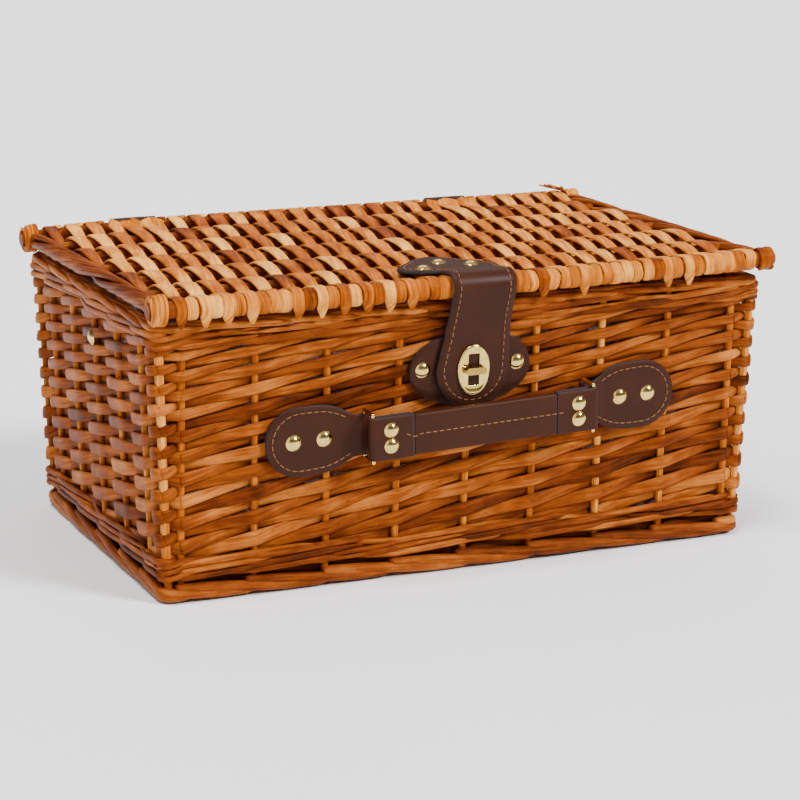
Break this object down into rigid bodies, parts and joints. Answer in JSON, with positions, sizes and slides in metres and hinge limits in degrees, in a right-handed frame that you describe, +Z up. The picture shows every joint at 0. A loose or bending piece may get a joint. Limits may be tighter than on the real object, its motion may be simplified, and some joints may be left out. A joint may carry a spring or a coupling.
{
  "type": "wicker basket",
  "caption": "Rectangular woven willow hamper with a hinged flat lid, a leather strap closed by a brass turn lock, and a flat leather carrying handle on wire rings.",
  "frame": {"origin": "centre of the foot border's footprint, on the floor; the handle in front makes the whole box's centre lie 2.4 mm in front of it", "axes": "+X along the front towards its right end, +Y from the front to the back where the lid is hinged, +Z up"},
  "size_m": [0.4, 0.2807, 0.1844],
  "materials": {
    "willow": "varnished willow rods and skeins, warm orange brown",
    "willow_light": "varnished willow, lighter rods",
    "willow_dark": "varnished willow, darker rods",
    "leather": "smooth dark brown leather, satin, with golden brown stitching",
    "core_board": "stiff leather board inside the handle",
    "brass": "polished pale brass",
    "cloth": "red and white gingham cotton lining"
  },
  "bodies": {
    "basket": {"foot_border": "willow", "foot_stakes": "willow_light", "lower_wale": "willow", "base_weave": "willow_dark", "base_sticks": "willow", "front_wall": "willow", "back_wall": "willow", "left_wall": "willow", "right_wall": "willow", "front_stakes": "willow_light", "back_stakes": "willow_light", "left_stakes": "willow_light", "right_stakes": "willow_light", "corner_posts": "willow_light", "upper_wale": "willow", "rim_border": "willow_light", "lining": "cloth", "left_hinge_loop": "leather", "right_hinge_loop": "leather", "hinge_rivets": "brass", "stay_rivets": "brass", "lock_patch": "leather", "patch_rivets": "brass", "lock_base": "brass", "left_handle_tab": "leather", "right_handle_tab": "leather", "tab_rivets": "brass"},
    "lid": {"lid_weave": "willow_light", "lid_inner_sticks": "willow", "lid_front_stick": "willow_dark", "lid_back_stick": "willow_dark", "lid_left_wale": "willow", "lid_right_wale": "willow", "lid_corner_ties": "willow_light", "strap_yoke": "leather", "yoke_rivets": "brass"},
    "strap": {"strap_flap": "leather", "eyelet_plate": "brass"},
    "knob": {"turn_knob": "brass"},
    "ring_left": {"left_ring": "brass"},
    "ring_right": {"right_ring": "brass"},
    "handle": {"handle_cover": "leather", "handle_core": "core_board", "left_handle_loop": "leather", "right_handle_loop": "leather", "handle_rivets": "brass"}
  },
  "joints": [
    {"name": "lid_hinge", "type": "hinge", "parent": "basket", "child": "lid", "pos_m": [0, 0.1285, 0.1745], "axis": [-1, 0, 0], "range_deg": [0, 105]},
    {"name": "strap_bend", "type": "hinge", "parent": "lid", "child": "strap", "pos_m": [0, -0.13437, 0.18037], "axis": [-1, 0, 0], "range_deg": [0, 120]},
    {"name": "turn_lock", "type": "hinge", "parent": "basket", "child": "knob", "pos_m": [-0.001, -0.12274, 0.12488], "axis": [0, -0.9991, -0.0435], "range_deg": [0, 90]},
    {"name": "left_ring_swing", "type": "hinge", "parent": "basket", "child": "ring_left", "pos_m": [-0.06795, -0.12469, 0.09154], "axis": [-0.0384, -0.0435, 0.9983], "range_deg": [-55, 55]},
    {"name": "handle_swing", "type": "hinge", "parent": "ring_left", "child": "handle", "pos_m": [-0.06795, -0.13728, 0.09099], "axis": [-0.0384, -0.0435, 0.9983], "range_deg": [-55, 55]},
    {"name": "right_ring_swing", "type": "hinge", "parent": "basket", "child": "ring_right", "pos_m": [0.07395, -0.12493, 0.09699], "axis": [-0.0384, -0.0435, 0.9983], "range_deg": [-55, 55]}
  ],
  "couplings": [
    {"joint": "handle_swing", "follows": "left_ring_swing", "ratio": -1},
    {"joint": "right_ring_swing", "follows": "left_ring_swing", "ratio": 1}
  ]
}
